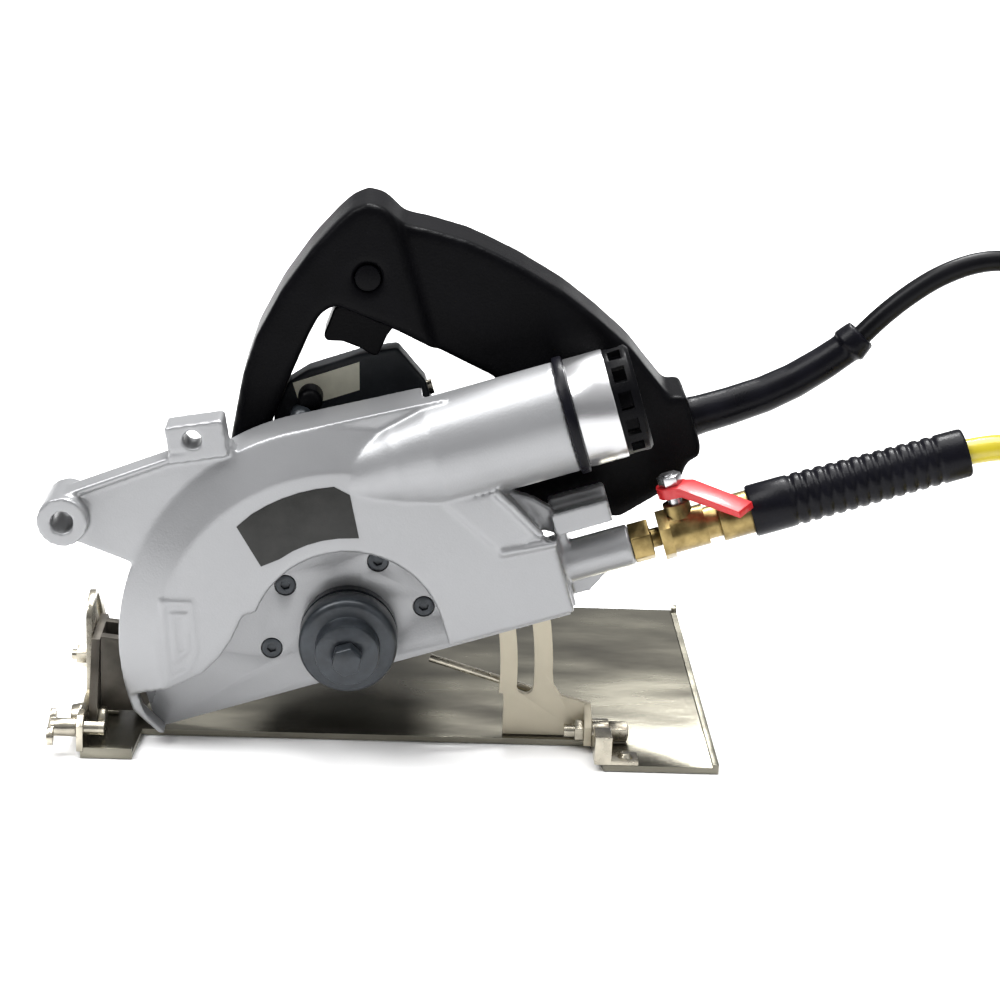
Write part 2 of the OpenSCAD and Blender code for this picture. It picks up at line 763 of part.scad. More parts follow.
module trigger() color("black") saw_frame()
    difference() {
        slab(handle_y - 8.8, handle_y + 8.8)
            polygon([[27, 111], [20, 102], [20.7, 100], [26, 98.3], [32, 93.6], [35.2, 90],
                     [37.2, 89.6], [42.8, 96], [47, 99], [51, 105], [51, 115], [44, 117]]);
        bar_y(pivot_x, pivot_z, -60, 20, 2.06);
    }

module switch_body() color("dimgray") saw_frame()
    block([53.5, handle_y - 8.5, 100], [72, handle_y + 8.5, 109]);

module lock_button() color("black") saw_frame() {
    bar_y(button_x, button_z, -42.2, -35.5, 4.6);
    bar_y(button_x, button_z, -35.6, -33.6, 2.4);
}

guard_path = [[128, handle_y, 32.5], [142, handle_y, 32.5], [156, handle_y, 32.6],
              [170, handle_y, 33.4], [182, handle_y, 35.4], [194, handle_y, 38.8],
              [204.5, handle_y, 42.5]];

module cord_guard() color("black") saw_frame() {
    bar_x(121, 144, handle_y, 32.5, 7.5);
    for (i = [1:5]) hull() {
        translate(guard_path[i]) sphere(r = 7.6 - 0.25 * i, $fn = 32);
        translate(guard_path[i + 1]) sphere(r = 7.6 - 0.25 * (i + 1), $fn = 32);
    }
    translate(guard_path[6]) rotate([0, 60, 0]) cylinder(h = 7, r1 = 7.4, r2 = 6.2);
}

// ---- exhaust duct ------------------------------------------------------------

module air_duct() color("silver") saw_frame()
    difference() {
        union() {
            bar_x(50, 98, duct_y, duct_z, duct_r);
            bar_x(16, 50, duct_y, duct_z, 12.8, duct_r);
        }
        bar_x(54, 100, duct_y, duct_z, duct_r - 3);
        // the blade turns in front of the duct's mouth
        slab(outer_y + 3.5, plate_y) guard_disc(guard_r - guard_wall);
    }

module duct_seal_ring() color("black") saw_frame()
    difference() {
        bar_x(98.02, 101.6, duct_y, duct_z, duct_r + 1.4);
        bar_x(97, 103, duct_y, duct_z, duct_r - 3);
    }

module duct_sleeve() color("gainsboro") saw_frame()
    difference() {
        bar_x(101.62, 116, duct_y, duct_z, duct_r - 0.2);
        bar_x(100, 118, duct_y, duct_z, duct_r - 3);
    }

module duct_grille() color("black") saw_frame()
    difference() {
        union() {
            bar_x(116.02, 124, duct_y, duct_z, duct_r - 0.8);
            bar_x(124, 125.2, duct_y, duct_z, duct_r - 0.8, duct_r - 2);
        }
        bar_x(115, 122.8, duct_y, duct_z, duct_r - 3.4);
        // outlet windows round the rim
        for (a = [15:30:345]) translate([0, duct_y, duct_z]) rotate([a, 0, 0])
            block([117.6, -3.2, 12], [122.2, 3.2, 24]);
        // slots across the end face
        for (z = [-12:6:12]) block([122, duct_y - 11, duct_z + z - 1.2],
                                   [126, duct_y + 11, duct_z + z + 1.2]);
    }

// ---- water line ----------------------------------------------------------------

module water_bracket() color("silver") saw_frame()
    difference() {
        union() {
            // stepped shelf behind the guard
            block([83.05, -70, 17.5], [104, -52, 23]);
            block([83.05, -72, 17.5], [104, -70, 26]);
            block([83.05, -58, 23], [104, -52, 27]);
            block([83.05, -66, 8], [86.5, -52, 18]);
            // inlet boss and its lug
            bar_x(83.05, 108, water_y, water_z, 7.6);
            slab(-60, -56) polygon([[83.05, 8], [83.05, -10], [89, -10], [101, -2], [101, 8]]);
        }
        bar_x(90, 110, water_y, water_z, 4.05);
        block([88, -66.5, 21.5], [105, -63.5, 24]);
    }

module brass_coupling() color("goldenrod") saw_frame()
    union() {
        bar_x(96, 119, water_y, water_z, 3.6);
        hex_x(108.05, 115.6, water_y, water_z, 7.8);
    }

module valve_body() color("goldenrod") saw_frame()
    difference() {
        union() {
            hex_x(119, 123, water_y, water_z, 9.6);
            bar_x(123, 136, water_y, water_z, 7.6);
            translate([127.5, water_y, water_z]) cylinder(h = 11, r = 5);
            bar_x(136, 141, water_y, water_z, 6);
        }
        translate([127.5, water_y, water_z]) cylinder(h = 12, r = 2.55);
        bar_x(118, 142, water_y, water_z, 3);
        translate([127.5, water_y, water_z]) sphere(r = 4.6);
    }

module valve_stem() color("silver") saw_frame() translate([127.5, water_y, water_z]) {
    difference() {
        sphere(r = 4.4);
        rotate([0, 0, -40]) bar_x(-5, 5, 0, 0, 2.4);
    }
    translate([0, 0, 3.6]) cylinder(h = 14, r = 2.5);
    translate([0, 0, 18.02]) cylinder(h = 3.6, r = 4.4, $fn = 6);
    translate([0, 0, 17.5]) cylinder(h = 4.6, r = 2);
}

module valve_lever() color("red") saw_frame()
    translate([127.5, water_y, water_z]) rotate([0, 0, -40]) difference() {
        union() {
            translate([0, 0, 14]) cylinder(h = 4, r = 5.6);
            translate([0, 4.5, 0]) rotate([90, 0, 0]) linear_extrude(height = 9)
                polygon([[0, 14.5], [0, 18], [7, 18], [30, 9], [30, 6.5], [7, 14.5]]);
        }
        translate([0, 0, 10]) cylinder(h = 10, r = 2.5);
    }

module hose_connector() color("goldenrod") saw_frame() {
    bar_x(141, 153.5, water_y, water_z, 8);
    bar_x(153.5, 172, water_y, water_z, 3.4);
}

module hose_sleeve() color("black") saw_frame()
    difference() {
        bar_x(153.52, 233, water_y, water_z, sleeve_r);
        bar_x(152, 173, water_y, water_z, 3.5);
    }

// ---- free cords ----------------------------------------------------------------

cord_turn_r = 44;                // middle of the turns
cord_coil = [308, 22];
hose_turn_r = 55;
hose_coil = [304, -101];

cord_route = [[166, -23, 152], [173, -23, 159.5], [182, -23, 167.5], [192, -23, 174.5],
              [203, -23, 179.5], [214, -23, 181.5], [226, -23, 180], [237, -23, 174.5],
              [246, -23, 165.5], [252, -23, 154], [256, -23, 140], [258, -23, 124],
              [260, -22, 107], [262, -22, 89], [264, -22, 74], [267, -22, 60],
              [273, -22, 46], [283, -22, 35.5], [295, -22, 29.5], [308, -22, 28]];

hose_route = [[200, -62, 119.4], [211.5, -62, 121.4], [223, -62, 120.2], [234, -62, 115.8],
              [243, -62, 108.6], [250, -62, 99], [254, -62, 88], [255, -62, 77],
              [255, -64, 62], [255, -71, 49.5], [255, -82, 40.5], [255, -95, 35.6],
              [255, -102, 35]];

module power_cord() color("black") tube(cord_route, cord_r, 44, 10);

module power_cord_coil() color("black")
    translate([cord_coil[0], cord_coil[1], 0]) rotate_extrude($fn = 64)
        translate([cord_turn_r - 12, 0.2]) square([24, 24]);

module power_plug() color("black")
    translate([cord_coil[0] + 26, cord_coil[1] + 38, 24.4]) rotate([0, 0, 159]) {
        bar_x(0, 12, 0, 7, 4.4, 6.2);
        block([12, -12, 0], [38, 12, 14]);
        for (y = [-6.35, 6.35]) block([38, y - 0.8, 4], [53, y + 0.8, 10]);
        bar_x(38, 54, 0, 10, 2.3);
    }

module water_hose() color("gold") tube(hose_route, hose_r, 30, 10);

module water_hose_coil() color("gold")
    translate([hose_coil[0], hose_coil[1], 0]) rotate_extrude($fn = 64)
        translate([hose_turn_r - 10, 0.2]) square([20, 30]);

// Tap fitting that lies on the coil.
module hose_fitting() color("goldenrod")
    translate([hose_coil[0] - 35.4, hose_coil[1] - 42.1, 40.6]) rotate([0, 0, -25]) {
        bar_x(0, 16, 0, 0, 7);
        hex_x(16, 24, 0, 0, 10);
        bar_x(24, 42, 0, 0, 10);
    }

sole_plate();
bevel_quadrant();
rear_pivot_lug();
base_screws();
guide_wing_screw();
front_bracket();
frame_bolts();
bevel_lock_nut();
depth_quadrant();
bevel_pivot_pins();
depth_lock_lever();
guard_shell();
front_boss_arm();
inner_guard_plate();
socket_screws();
gear_case();
depth_stud();
ball_bearings();
spindle();
spindle_gear();
inner_flange();
outer_flange();
flange_bolt();
armature_shaft();
armature_core();
commutator();
cooling_fan();
stator();
motor_housing();
motor_end_cap();
case_screws();
brush_caps();
carbon_brushes();
motor_front_cover();
rating_label();
name_badge();
handle_near_shell();
handle_far_shell();
handle_screws();
trigger();
switch_body();
lock_button();
cord_guard();
air_duct();
duct_seal_ring();
duct_sleeve();
duct_grille();
water_bracket();
brass_coupling();
valve_body();
valve_stem();
valve_lever();
hose_connector();
hose_sleeve();
power_cord();
power_cord_coil();
power_plug();
water_hose();
water_hose_coil();
hose_fitting();
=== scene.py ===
"""Looks of a hand-held wet trim saw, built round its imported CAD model. Metres, +Z up."""
import json
import math

import bmesh
import bpy
from mathutils import Matrix, Vector


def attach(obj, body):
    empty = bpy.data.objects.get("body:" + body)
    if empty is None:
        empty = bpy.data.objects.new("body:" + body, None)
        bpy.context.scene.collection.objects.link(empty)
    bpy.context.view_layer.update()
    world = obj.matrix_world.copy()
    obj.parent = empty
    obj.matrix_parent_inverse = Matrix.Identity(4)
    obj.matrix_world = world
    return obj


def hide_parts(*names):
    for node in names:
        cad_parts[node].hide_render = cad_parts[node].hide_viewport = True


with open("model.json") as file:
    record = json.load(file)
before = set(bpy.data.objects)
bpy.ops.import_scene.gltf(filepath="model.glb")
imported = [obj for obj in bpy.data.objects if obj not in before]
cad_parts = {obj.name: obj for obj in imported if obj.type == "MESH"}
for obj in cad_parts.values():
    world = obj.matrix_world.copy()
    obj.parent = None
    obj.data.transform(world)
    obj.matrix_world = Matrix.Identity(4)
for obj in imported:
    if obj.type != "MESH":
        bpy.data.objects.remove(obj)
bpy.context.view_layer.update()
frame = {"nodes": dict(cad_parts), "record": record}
nodes = frame["nodes"]

MM = 0.001

# The saw's own frame: origin on the spindle axis, x toward the rear, tilted nose down.
SPINDLE_X = -20.5 * MM
SPINDLE_Z = 43.6 * MM
NOSE_DOWN = math.radians(18)
SAW = Matrix.Translation((SPINDLE_X, 0, SPINDLE_Z)) @ Matrix.Rotation(-NOSE_DOWN, 4, "Y")
OUTER_Y = -75  # outer face of the guard, mm
DUCT_Y = -62  # middle plane of the air duct, the tap and the hose, mm
HANDLE_Y = -23  # parting plane of the handle, mm


# ---- small helpers -------------------------------------------------------------

def link(obj):
    """Puts an object in the scene."""
    bpy.context.scene.collection.objects.link(obj)
    return obj


def mesh_object(name, bm):
    """A new mesh object from a bmesh, in world metres."""
    mesh = bpy.data.meshes.new(name)
    bm.normal_update()
    bm.to_mesh(mesh)
    bm.free()
    return link(bpy.data.objects.new(name, mesh))


def smooth(obj, angle=40):
    """Smooth shading, with edges over the angle kept sharp."""
    for polygon in obj.data.polygons:
        polygon.use_smooth = True
    obj.data.set_sharp_from_angle(angle=math.radians(angle))
    return obj


def bake(obj):
    """Applies the object's modifiers to its mesh."""
    graph = bpy.context.evaluated_depsgraph_get()
    mesh = bpy.data.meshes.new_from_object(obj.evaluated_get(graph))
    obj.modifiers.clear()
    obj.data = mesh
    return obj


def dress(obj, material, body=None, stands_for=()):
    """Gives a piece its material and its body, and hides the CAD nodes it stands for."""
    obj.data.materials.clear()
    obj.data.materials.append(material)
    if body:
        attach(obj, body)
    if stands_for:
        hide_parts(*stands_for)
    return obj


def copy_of(names, piece):
    """One mesh made of copies of CAD nodes, with doubled points merged."""
    bm = bmesh.new()
    for name in names:
        bm.from_mesh(nodes[name].data)
    bmesh.ops.remove_doubles(bm, verts=bm.verts, dist=2e-6)
    return mesh_object(piece, bm)


def eased(names, piece, width, segments=2):
    """CAD nodes with their sharp edges broken by a small bevel. The width is in mm."""
    obj = copy_of(names, piece)
    bm = bmesh.new()
    bm.from_mesh(obj.data)
    bmesh.ops.dissolve_limit(bm, angle_limit=math.radians(0.8), verts=bm.verts, edges=bm.edges)
    bm.to_mesh(obj.data)
    bm.free()
    bevel = obj.modifiers.new("ease", "BEVEL")
    bevel.width = width * MM
    bevel.segments = segments
    bevel.limit_method = "ANGLE"
    bevel.angle_limit = math.radians(40)
    bevel.use_clamp_overlap = True
    return smooth(bake(obj), 32)


def cast(obj, voxel, rounds, factor=0.5):
    """Melts a mesh into one skin with soft corners, as a casting or a moulding has.

    The voxel is in mm. More rounds of smoothing make softer corners.
    """
    remesh = obj.modifiers.new("skin", "REMESH")
    remesh.mode = "VOXEL"
    remesh.voxel_size = voxel * MM
    soft = obj.modifiers.new("soft", "SMOOTH")
    soft.iterations = rounds
    soft.factor = factor
    bake(obj)
    for polygon in obj.data.polygons:
        polygon.use_smooth = True
    return obj


def add_prism(bm, outline, y0, y1, place=SAW):
    """Adds an x-z outline extruded from y0 to y1, in mm in the given frame."""
    ends = [[bm.verts.new(place @ Vector((x * MM, y * MM, z * MM))) for x, z in outline]
            for y in (y0, y1)]
    bm.faces.new(ends[0])
    bm.faces.new(list(reversed(ends[1])))
    for i in range(len(outline)):
        j = (i + 1) % len(outline)
        bm.faces.new((ends[0][j], ends[0][i], ends[1][i], ends[1][j]))


def add_bead(bm, points, width, y0, y1):
    """Adds a raised line along x-z points in mm, as straight bars from y0 to y1."""
    for (xa, za), (xb, zb) in zip(points, points[1:]):
        run = math.hypot(xb - xa, zb - za)
        ux, uz = (xb - xa) / run * width / 2, (zb - za) / run * width / 2
        add_prism(bm, [(xa - ux + uz, za - uz - ux), (xb + ux + uz, zb + uz - ux),
                       (xb + ux - uz, zb + uz + ux), (xa - ux - uz, za - uz + ux)], y0, y1)


def add_lathe(bm, profile, place, sides=64):
    """Adds a profile of (along, radius) points in mm turned about the frame's own x axis."""
    rings = []
    for along, radius in profile:
        rings.append([bm.verts.new(place @ Vector((along * MM, radius * math.cos(a) * MM,
                                                   radius * math.sin(a) * MM)))
                      for a in (2 * math.pi * s / sides for s in range(sides))])
    for a, b in zip(rings, rings[1:]):
        for s in range(sides):
            t = (s + 1) % sides
            bm.faces.new((a[s], b[s], b[t], a[t]))
    bm.faces.new(list(reversed(rings[0])))
    bm.faces.new(rings[-1])
    bmesh.ops.recalc_face_normals(bm, faces=bm.faces)


def along_x(x, y, z):
    """Frame at a point of the saw's frame, whose x axis is the saw's x axis."""
    return SAW @ Matrix.Translation((x * MM, y * MM, z * MM))


def along_y(x, y, z):
    """Frame at a point of the saw's frame, whose x axis points to the blade side."""
    return along_x(x, y, z) @ Matrix.Rotation(math.radians(-90), 4, "Z")


# ---- camera ------------------------------------------------------------------

def make_camera():
    """Camera of the product view: in front of the blade side, looking down a little."""
    data = bpy.data.cameras.new("camera")
    data.sensor_width = 36
    data.lens = 89.17
    data.clip_start = 0.05
    camera = link(bpy.data.objects.new("camera", data))
    yaw, pitch, roll = math.radians(2.53), math.radians(17.82), math.radians(2.50)
    forward = Vector((math.sin(yaw) * math.cos(pitch), math.cos(yaw) * math.cos(pitch),
                      -math.sin(pitch)))
    level = Vector((math.cos(yaw), -math.sin(yaw), 0))
    above = level.cross(forward)
    right = level * math.cos(roll) + above * math.sin(roll)
    up = -level * math.sin(roll) + above * math.cos(roll)
    turn = Matrix((right, up, -forward)).transposed().to_4x4()
    camera.matrix_world = Matrix.Translation((-0.0048, -0.9102, 0.3689)) @ turn
    bpy.context.scene.camera = camera


# ---- materials -----------------------------------------------------------------

MATERIALS = {}


def surface(name, color, rough, metallic=0.0, vary=0.08, scale=60.0, grain=0.02, grain_scale=900.0,
            rough_vary=0.08, stretch=(1, 1, 1), coat=0.0, dark=None, shine=0.5):
    """A finish whose colour, gloss and relief vary by noise. Scales are per metre."""
    material = bpy.data.materials.new(name)
    material.use_nodes = True
    tree = material.node_tree
    shader = tree.nodes["Principled BSDF"]
    shader.inputs["Metallic"].default_value = metallic
    shader.inputs["Coat Weight"].default_value = coat
    shader.inputs["Specular IOR Level"].default_value = shine
    where = tree.nodes.new("ShaderNodeTexCoord")
    mapping = tree.nodes.new("ShaderNodeMapping")
    mapping.inputs["Scale"].default_value = stretch
    tree.links.new(where.outputs["Object"], mapping.inputs["Vector"])

    cloud = tree.nodes.new("ShaderNodeTexNoise")
    cloud.inputs["Scale"].default_value = scale
    cloud.inputs["Detail"].default_value = 5
    tree.links.new(mapping.outputs["Vector"], cloud.inputs["Vector"])
    tint = tree.nodes.new("ShaderNodeValToRGB")
    low = dark or [c * (1 - vary) for c in color]
    tint.color_ramp.elements[0].position = 0.3
    tint.color_ramp.elements[0].color = (*low, 1)
    tint.color_ramp.elements[1].position = 0.7
    tint.color_ramp.elements[1].color = (*[min(1, c * (1 + vary)) for c in color], 1)
    tree.links.new(cloud.outputs["Fac"], tint.inputs["Fac"])
    tree.links.new(tint.outputs["Color"], shader.inputs["Base Color"])

    gloss = tree.nodes.new("ShaderNodeMapRange")
    gloss.inputs["To Min"].default_value = max(0.03, rough - rough_vary)
    gloss.inputs["To Max"].default_value = min(1, rough + rough_vary)
    tree.links.new(cloud.outputs["Fac"], gloss.inputs["Value"])
    tree.links.new(gloss.outputs["Result"], shader.inputs["Roughness"])

    fine = tree.nodes.new("ShaderNodeTexNoise")
    fine.inputs["Scale"].default_value = grain_scale
    fine.inputs["Detail"].default_value = 3
    tree.links.new(mapping.outputs["Vector"], fine.inputs["Vector"])
    bump = tree.nodes.new("ShaderNodeBump")
    bump.inputs["Strength"].default_value = grain
    bump.inputs["Distance"].default_value = 0.0004
    tree.links.new(fine.outputs["Fac"], bump.inputs["Height"])
    tree.links.new(bump.outputs["Normal"], shader.inputs["Normal"])
    MATERIALS[name] = material
    return material


surface("cast_silver", (0.26, 0.263, 0.27), 0.31, 0.42, vary=0.05, scale=30, grain=0.16,
        grain_scale=1300)
surface("sleeve_silver", (0.50, 0.50, 0.51), 0.25, 0.9, vary=0.05, scale=40, grain=0.05,
        grain_scale=700)
surface("sole_steel", (0.19, 0.18, 0.145), 0.24, 0.9, vary=0.35, scale=16, grain=0.08,
        grain_scale=240, rough_vary=0.14, stretch=(1, 3, 3))
surface("zinc_steel", (0.42, 0.39, 0.32), 0.27, 1.0, vary=0.35, scale=110, grain=0.08,
        grain_scale=500)
surface("quadrant_zinc", (0.42, 0.38, 0.29), 0.42, 0.3, vary=0.07, grain=0.05,
        grain_scale=600)
surface("bracket_black", (0.10, 0.09, 0.075), 0.38, 0.7, vary=0.4, scale=80, grain=0.1,
        grain_scale=500)
surface("black_screws", (0.022, 0.026, 0.031), 0.34, 0.4, vary=0.3, scale=200, grain=0.1)
surface("shaft_steel", (0.50, 0.50, 0.51), 0.25, 1.0, vary=0.1, scale=150, grain=0.05)
surface("core_steel", (0.28, 0.28, 0.30), 0.5, 0.9, vary=0.2, scale=90, grain=0.2,
        grain_scale=800, rough_vary=0.1, stretch=(1, 14, 1))
surface("copper_bars", (0.62, 0.30, 0.17), 0.3, 1.0, vary=0.15, scale=200, grain=0.05)
surface("fan_plastic", (0.65, 0.63, 0.56), 0.5, 0.0, vary=0.05, scale=90, grain=0.05)
surface("black_plastic", (0.002, 0.002, 0.0026), 0.34, 0.0, vary=0.3, scale=70, grain=0.3,
        grain_scale=1500, shine=0.05)
surface("cover_grey", (0.020, 0.023, 0.027), 0.42, 0.0, vary=0.3, scale=70, grain=0.3,
        grain_scale=1500, shine=0.3)
surface("carbon", (0.03, 0.03, 0.03), 0.7, 0.1, vary=0.3, scale=200, grain=0.2)
surface("label_ivory", (0.88, 0.86, 0.70), 0.5, 0.0, scale=160, grain=0.05)
surface("badge_grey", (0.020, 0.020, 0.019), 0.5, 0.1, vary=0.25, scale=120, grain=0.15,
        shine=0.25)
surface("black_rubber", (0.003, 0.003, 0.005), 0.30, 0.0, vary=0.3, scale=90, grain=0.2,
        grain_scale=1300, shine=0.1)
surface("brass_fittings", (0.24, 0.18, 0.075), 0.32, 0.95, vary=0.22, scale=160, grain=0.14,
        grain_scale=700, dark=(0.10, 0.07, 0.026))
surface("red_enamel", (0.45, 0.007, 0.011), 0.38, 0.0, vary=0.12, scale=90, grain=0.06,
        grain_scale=500, coat=0.1)
surface("cord_rubber", (0.003, 0.003, 0.004), 0.32, 0.0, vary=0.3, grain=0.1, shine=0.1)
surface("yellow_hose", (0.44, 0.36, 0.012), 0.30, 0.0, vary=0.06, grain=0.06, grain_scale=500,
        coat=0.3)


# ---- free cords ----------------------------------------------------------------

CORD_R = 3.9 * MM  # 0.1 mm inside the skin of the CAD cord
HOSE_R = 4.8 * MM
CORD_ROUTE = [(166, -23, 152), (173, -23, 159.5), (182, -23, 167.5), (192, -23, 174.5),
              (203, -23, 179.5), (214, -23, 181.5), (226, -23, 180), (237, -23, 174.5),
              (246, -23, 165.5), (252, -23, 154), (256, -23, 140), (258, -23, 124),
              (260, -22, 107), (262, -22, 89), (264, -22, 74), (267, -22, 60),
              (273, -22, 46), (283, -22, 35.5), (295, -22, 29.5), (308, -22, 28)]
CORD_COIL = Vector((308, 22, 0))
HOSE_ROUTE = [(200, -62, 119.4), (211.5, -62, 121.4), (223, -62, 120.2), (234, -62, 115.8),
              (243, -62, 108.6), (250, -62, 99), (254, -62, 88), (255, -62, 77),
              (255, -64, 62), (255, -71, 49.5), (255, -82, 40.5), (255, -95, 35.6),
              (255, -102, 35)]
HOSE_COIL = Vector((304, -101, 0))


def along(points, steps):
    """Smooth curve through points, with that many steps in each stretch."""
    path = []
    last = len(points) - 1
    for i in range(last):
        a, b, c, d = (Vector(points[k]) for k in (max(i - 1, 0), i, i + 1, min(i + 2, last)))
        for k in range(steps):
            t = k / steps
            path.append(0.5 * (2 * b + (c - a) * t + (2 * a - 5 * b + 4 * c - d) * t * t
                               + (3 * b - a - 3 * c + d) * t * t * t))
    return path + [Vector(points[-1])]


def turns(centre, start, cells, arrive, leave, last_turn, steps=40):
    """Turns of a coil. Each cell is a (radius, height) that one turn keeps to.

    The first quarter of each turn is the step from one cell to the next. The last turn is a part
    of a turn, on the way to the place where the cord leaves the coil.
    """
    path = []
    cells = [arrive] + cells + [leave]
    total = len(cells) - 2 + last_turn
    for k in range(1, int(total * steps) + 1):
        u = k / steps
        i = min(int(u), len(cells) - 2)
        t = min(1, (u - i) * 4)
        t = t * t * (3 - 2 * t)
        radius = cells[i][0] + (cells[i + 1][0] - cells[i][0]) * t
        height = cells[i][1] + (cells[i + 1][1] - cells[i][1]) * t
        a = start + 2 * math.pi * u
        path.append(Vector((centre[0] + radius * math.cos(a), centre[1] + radius * math.sin(a),
                            height)))
    return path


def cord_curve(name, path, radius):
    """A tube along one open spline. The path is in mm."""
    curve = bpy.data.curves.new(name, "CURVE")
    curve.dimensions = "3D"
    curve.bevel_depth = radius
    curve.bevel_resolution = 6
    curve.use_fill_caps = True
    spline = curve.splines.new("POLY")
    spline.points.add(len(path) - 1)
    for point, place in zip(spline.points, path):
        point.co = (*(place * MM), 1)
    spline.use_smooth = True
    return link(bpy.data.objects.new(name, curve))


def make_power_cord():
    """Mains cord: down in one bow to its coil of eight turns, then to the plug."""
    path = along(CORD_ROUTE, 6)
    cells = [(52, 20.2), (52, 12.2), (52, 4.3), (44, 4.3), (36.5, 4.3), (36.5, 12.2),
             (44, 12.2), (44, 20.2)]
    path += turns(CORD_COIL, -math.pi / 2, cells, (44, 28), (46.1, 31.4), 0.403)
    obj = cord_curve("mains_cord", path, CORD_R)
    dress(obj, MATERIALS["cord_rubber"], "saw", ["power_cord", "power_cord_coil"])


def make_water_hose():
    """Water hose: down in one bow to its coil of six turns, then to the tap fitting."""
    path = along(HOSE_ROUTE, 6)
    cells = [(60, 25.2), (60, 15.2), (60, 5.2), (50, 5.2), (50, 15.2)]
    # the sixth turn stops a tenth of a turn early, where the tail rises from the coil
    path += turns(HOSE_COIL, math.pi, cells, (49, 35), (50, 25.2), 1.0)[:-4]
    path += turns(HOSE_COIL, math.radians(144), [], (50, 25.2), (55, 40.6), 0.241, 80)
    obj = cord_curve("water_hose_run", path, HOSE_R)
    dress(obj, MATERIALS["yellow_hose"], "saw", ["water_hose", "water_hose_coil"])


# ---- cast body -------------------------------------------------------------------

CAST_NODES = ["guard_shell", "front_boss_arm", "air_duct", "water_bracket"]


def make_cast_body():
    """Guard, front arm, duct and water bracket as one casting with soft corners."""
    obj = copy_of(CAST_NODES, "cast_body")
    bm = bmesh.new()
    bm.from_mesh(obj.data)
    sunk = OUTER_Y + 1  # raised details start this far inside the outer wall
    # blunt nose of the duct, which runs out on the guard's upper band
    add_lathe(bm, [(0, 3), (4, 9.5), (14, 14.4), (25, 17.2), (38, 19.2), (50, 20)],
              along_x(11, DUCT_Y, 57))
    # raised panel below the duct, with a rib on its rear edge and a lip under it
    top_rear, low_rear, low_front = (67.5, 40.5), (78, 21.5), (63, 18)
    add_prism(bm, [(48.5, 41.5), top_rear, low_rear, low_front], OUTER_Y - 0.7, sunk)
    add_bead(bm, [top_rear, low_rear], 2.2, OUTER_Y - 1.8, sunk)
    add_bead(bm, [low_front, (82, 16.5)], 1.8, OUTER_Y - 1.5, sunk)
    # web between the guard's rear corner and the shelf of the water inlet
    add_prism(bm, [(70, 37), (76.5, 20), (84, 16), (84, 26), (78, 32)], -65, -60)
    # two nested beads cast on the front of the outer wall
    for loop in ([(-59, 34), (-49.5, 31), (-53, 13), (-58, 7), (-66, 5), (-59, 34)],
                 [(-57, 28.5), (-52, 27), (-55.5, 14.5), (-61, 12), (-57, 28.5)]):
        add_bead(bm, loop, 1.3, OUTER_Y - 0.4, sunk)
    bm.to_mesh(obj.data)
    bm.free()
    cast(obj, voxel=0.8, rounds=4)
    dress(obj, MATERIALS["cast_silver"], "saw", CAST_NODES)


# ---- handle ------------------------------------------------------------------------

HANDLE_NODES = ["handle_near_shell", "handle_far_shell"]


def step_back(obj):
    """Sets the near face of the rear part back behind the front post, with a soft step."""
    step_x, step_run = 56.5, 3.5  # where the step starts and how long it is, mm
    post_width, rear_width = 1.07, 0.83  # near half of the handle, as shares of the CAD's width
    home = SAW.inverted()
    for vertex in obj.data.vertices:
        x, y, z = (c / MM for c in home @ vertex.co)
        if y < HANDLE_Y:
            t = min(1, max(0, (x - step_x) / step_run))
            t = t * t * (3 - 2 * t)
            y = HANDLE_Y + (y - HANDLE_Y) * (post_width - (post_width - rear_width) * t)
            vertex.co = SAW @ Vector((x * MM, y * MM, z * MM))


def make_knuckle():
    """The two domed bosses at the foot of the front post."""
    for piece, profile, place, finish in (
            ("post_boss", [(0, 4.6), (7, 4.6), (9, 4.0), (9.8, 2.8), (10, 1)],
             along_y(9, -30, 81.5), "black_plastic"),
            ("post_rivet", [(0, 4.2), (5, 4.2), (7.2, 3.4), (8.2, 2), (8.5, 0.8)],
             along_y(4.5, -36, 77), "black_screws")):
        bm = bmesh.new()
        add_lathe(bm, profile, place, 48)
        dress(smooth(mesh_object(piece, bm)), MATERIALS[finish], "saw")


def make_handle():
    """Handle shells as one moulding, and the smaller mouldings round it."""
    obj = copy_of(HANDLE_NODES, "handle_grip")
    cast(obj, voxel=1.2, rounds=24)
    step_back(obj)
    dress(obj, MATERIALS["black_plastic"], "saw", HANDLE_NODES)
    for name, piece, body, voxel, rounds, finish, slot in (
            ("trigger", "trigger_blade", "trigger_body", 0.6, 8, "black_plastic", "black_plastic"),
            ("motor_front_cover", "front_cover", "saw", 0.8, 6, "cover_grey", "black_plastic"),
            ("cord_guard", "strain_relief", "saw", 0.8, 5, "black_rubber", "black_rubber")):
        part = cast(copy_of([name], piece), voxel, rounds)
        dress(part, MATERIALS[finish], body, [name])


# ---- water line --------------------------------------------------------------------

def make_sleeve():
    """Ribbed rubber grip on the hose."""
    sleeve_r, taper = 9.55, 0.045
    first_rib, ribs, pitch = 168, 13, 4.4
    profile = [(152.6, 3.6), (152.6, 9.0), (153.4, sleeve_r), (166, sleeve_r)]
    for i in range(ribs):
        x = first_rib + i * pitch
        r = sleeve_r - taper * i
        profile += [(x, r - 0.1), (x + 0.5, r - 0.6), (x + 1.4, r - 0.65), (x + 2.0, r - 0.15),
                    (x + 2.5, r), (x + 3.9, r)]
    profile += [(225.4, 9.0), (231.6, 8.95), (232.6, 8.7), (233, 8.2), (233, 4.9)]
    bm = bmesh.new()
    add_lathe(bm, profile, along_x(0, DUCT_Y, 4), 72)
    obj = smooth(mesh_object("grip_sleeve", bm), 50)
    dress(obj, MATERIALS["black_rubber"], "saw", ["hose_sleeve"])


# ---- all other CAD nodes --------------------------------------------------------------

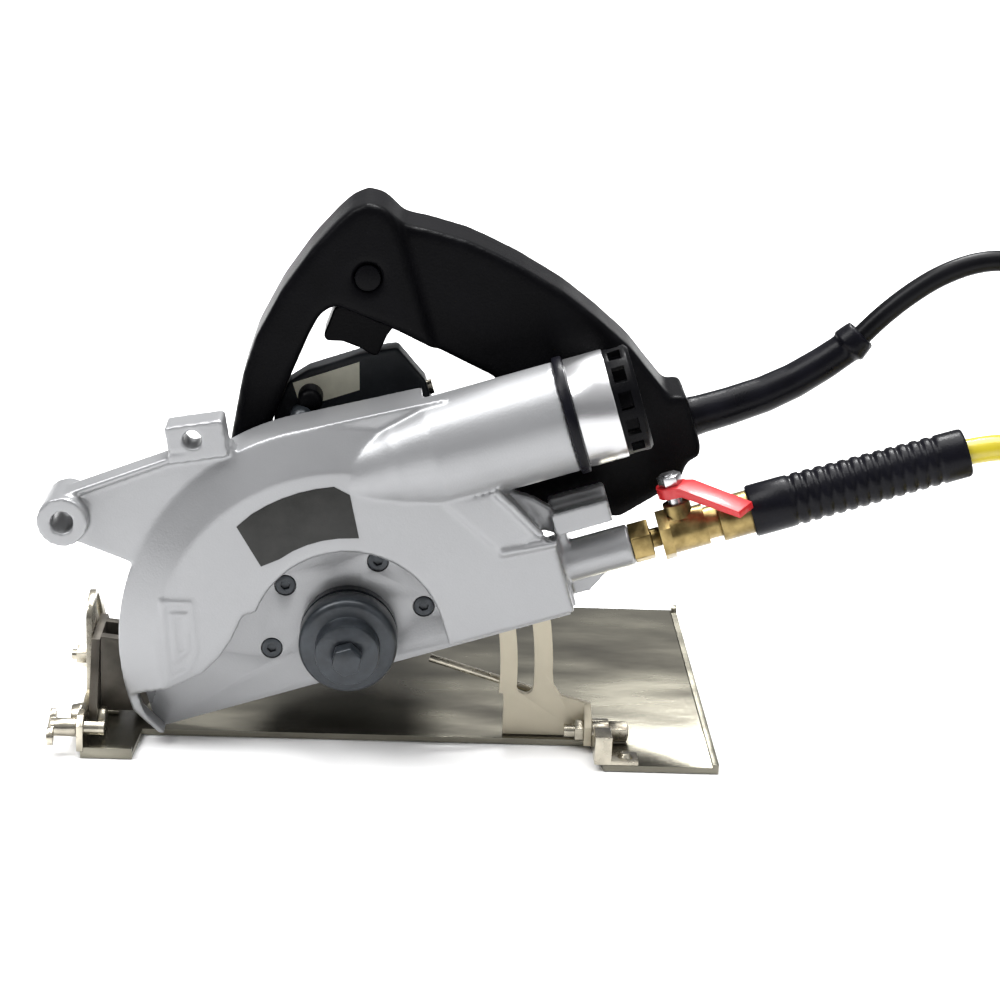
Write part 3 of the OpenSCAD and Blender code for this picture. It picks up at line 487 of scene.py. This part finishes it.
# Width of the bevel that breaks each part's sharp edges, in mm.
EDGE_WIDTHS = {
    "sole_plate": 0.5, "bevel_quadrant": 0.5, "rear_pivot_lug": 0.7, "base_screws": 0.4,
    "guide_wing_screw": 0.8, "front_bracket": 0.6, "frame_bolts": 0.5, "bevel_lock_nut": 0.5,
    "depth_quadrant": 0.4, "bevel_pivot_pins": 0.5, "outer_flange": 0.9, "flange_bolt": 0.6,
    "inner_guard_plate": 0.5, "socket_screws": 0.3, "depth_stud": 0.4, "duct_seal_ring": 0.6,
    "duct_sleeve": 0.4, "duct_grille": 0.4, "brass_coupling": 0.5, "valve_body": 0.5,
    "valve_stem": 0.4, "valve_lever": 1.0, "hose_connector": 0.5, "motor_housing": 0.8,
    "motor_end_cap": 0.8, "name_badge": 0.12, "lock_button": 0.5,
}


def ease_nodes():
    """Gives every CAD node its material, and breaks the sharp edges of the parts that show."""
    bodies = frame["record"]["behaviour"]["bodies"]
    body_of = {n: b for b, names in bodies.items() for n in names}
    slots = {s["node"]: s["material_slot"] for s in frame["record"]["subparts"]}
    for name in sorted(nodes):
        nodes[name].data.materials.clear()
        nodes[name].data.materials.append(MATERIALS[slots[name]])
        if name in EDGE_WIDTHS:
            obj = eased([name], name + "_eased", EDGE_WIDTHS[name])
            dress(obj, MATERIALS[slots[name]], body_of[name], [name])


# ---- stage ---------------------------------------------------------------------------

def make_floor():
    """Plain pale floor, just under the sole."""
    bm = bmesh.new()
    bmesh.ops.create_grid(bm, x_segments=1, y_segments=1, size=6)
    floor = mesh_object("floor", bm)
    floor.location.z = -0.0004
    floor.data.materials.append(surface("floor_white", (0.93, 0.93, 0.93), 0.55, vary=0.01,
                                        scale=3, grain=0.0, grain_scale=50, rough_vary=0.05))


def make_world():
    """Studio surround: grey at the horizon and white overhead."""
    world = bpy.data.worlds.new("studio")
    bpy.context.scene.world = world
    world.use_nodes = True
    tree = world.node_tree
    back = tree.nodes["Background"]
    where = tree.nodes.new("ShaderNodeTexCoord")
    split = tree.nodes.new("ShaderNodeSeparateXYZ")
    ramp = tree.nodes.new("ShaderNodeValToRGB")
    tree.links.new(where.outputs["Generated"], split.inputs["Vector"])
    tree.links.new(split.outputs["Z"], ramp.inputs["Fac"])
    ramp.color_ramp.elements[0].position = 0.35
    ramp.color_ramp.elements[0].color = (0.34, 0.34, 0.35, 1)
    ramp.color_ramp.elements[1].position = 0.8
    ramp.color_ramp.elements[1].color = (1, 1, 1, 1)
    tree.links.new(ramp.outputs["Color"], back.inputs["Color"])
    back.inputs["Strength"].default_value = 0.75


def make_lights():
    """Soft lights on the saw, and one on the floor behind it."""
    for name, place, aim, size, power in (
            ("key", (-0.9, -0.4, 1.4), (0, 0, 0.08), 0.8, 20),
            ("fill", (1.1, -1.0, 0.9), (0, 0, 0.08), 1.0, 2),
            ("top", (0.1, 0.2, 1.8), (0, 0, 0.05), 1.5, 50),
            ("back", (0, 1.6, 2.5), (0, 2.1, 0), 0.8, 110)):
        data = bpy.data.lights.new(name, "AREA")
        data.size = size
        data.energy = power
        light = link(bpy.data.objects.new(name, data))
        light.location = place
        light.rotation_euler = (Vector(aim) - Vector(place)).to_track_quat("-Z", "Y").to_euler()


make_camera()
ease_nodes()
make_power_cord()
make_water_hose()
make_cast_body()
make_handle()
make_knuckle()
make_sleeve()
bpy.context.scene.view_settings.view_transform = "Standard"
make_floor()
make_world()
make_lights()
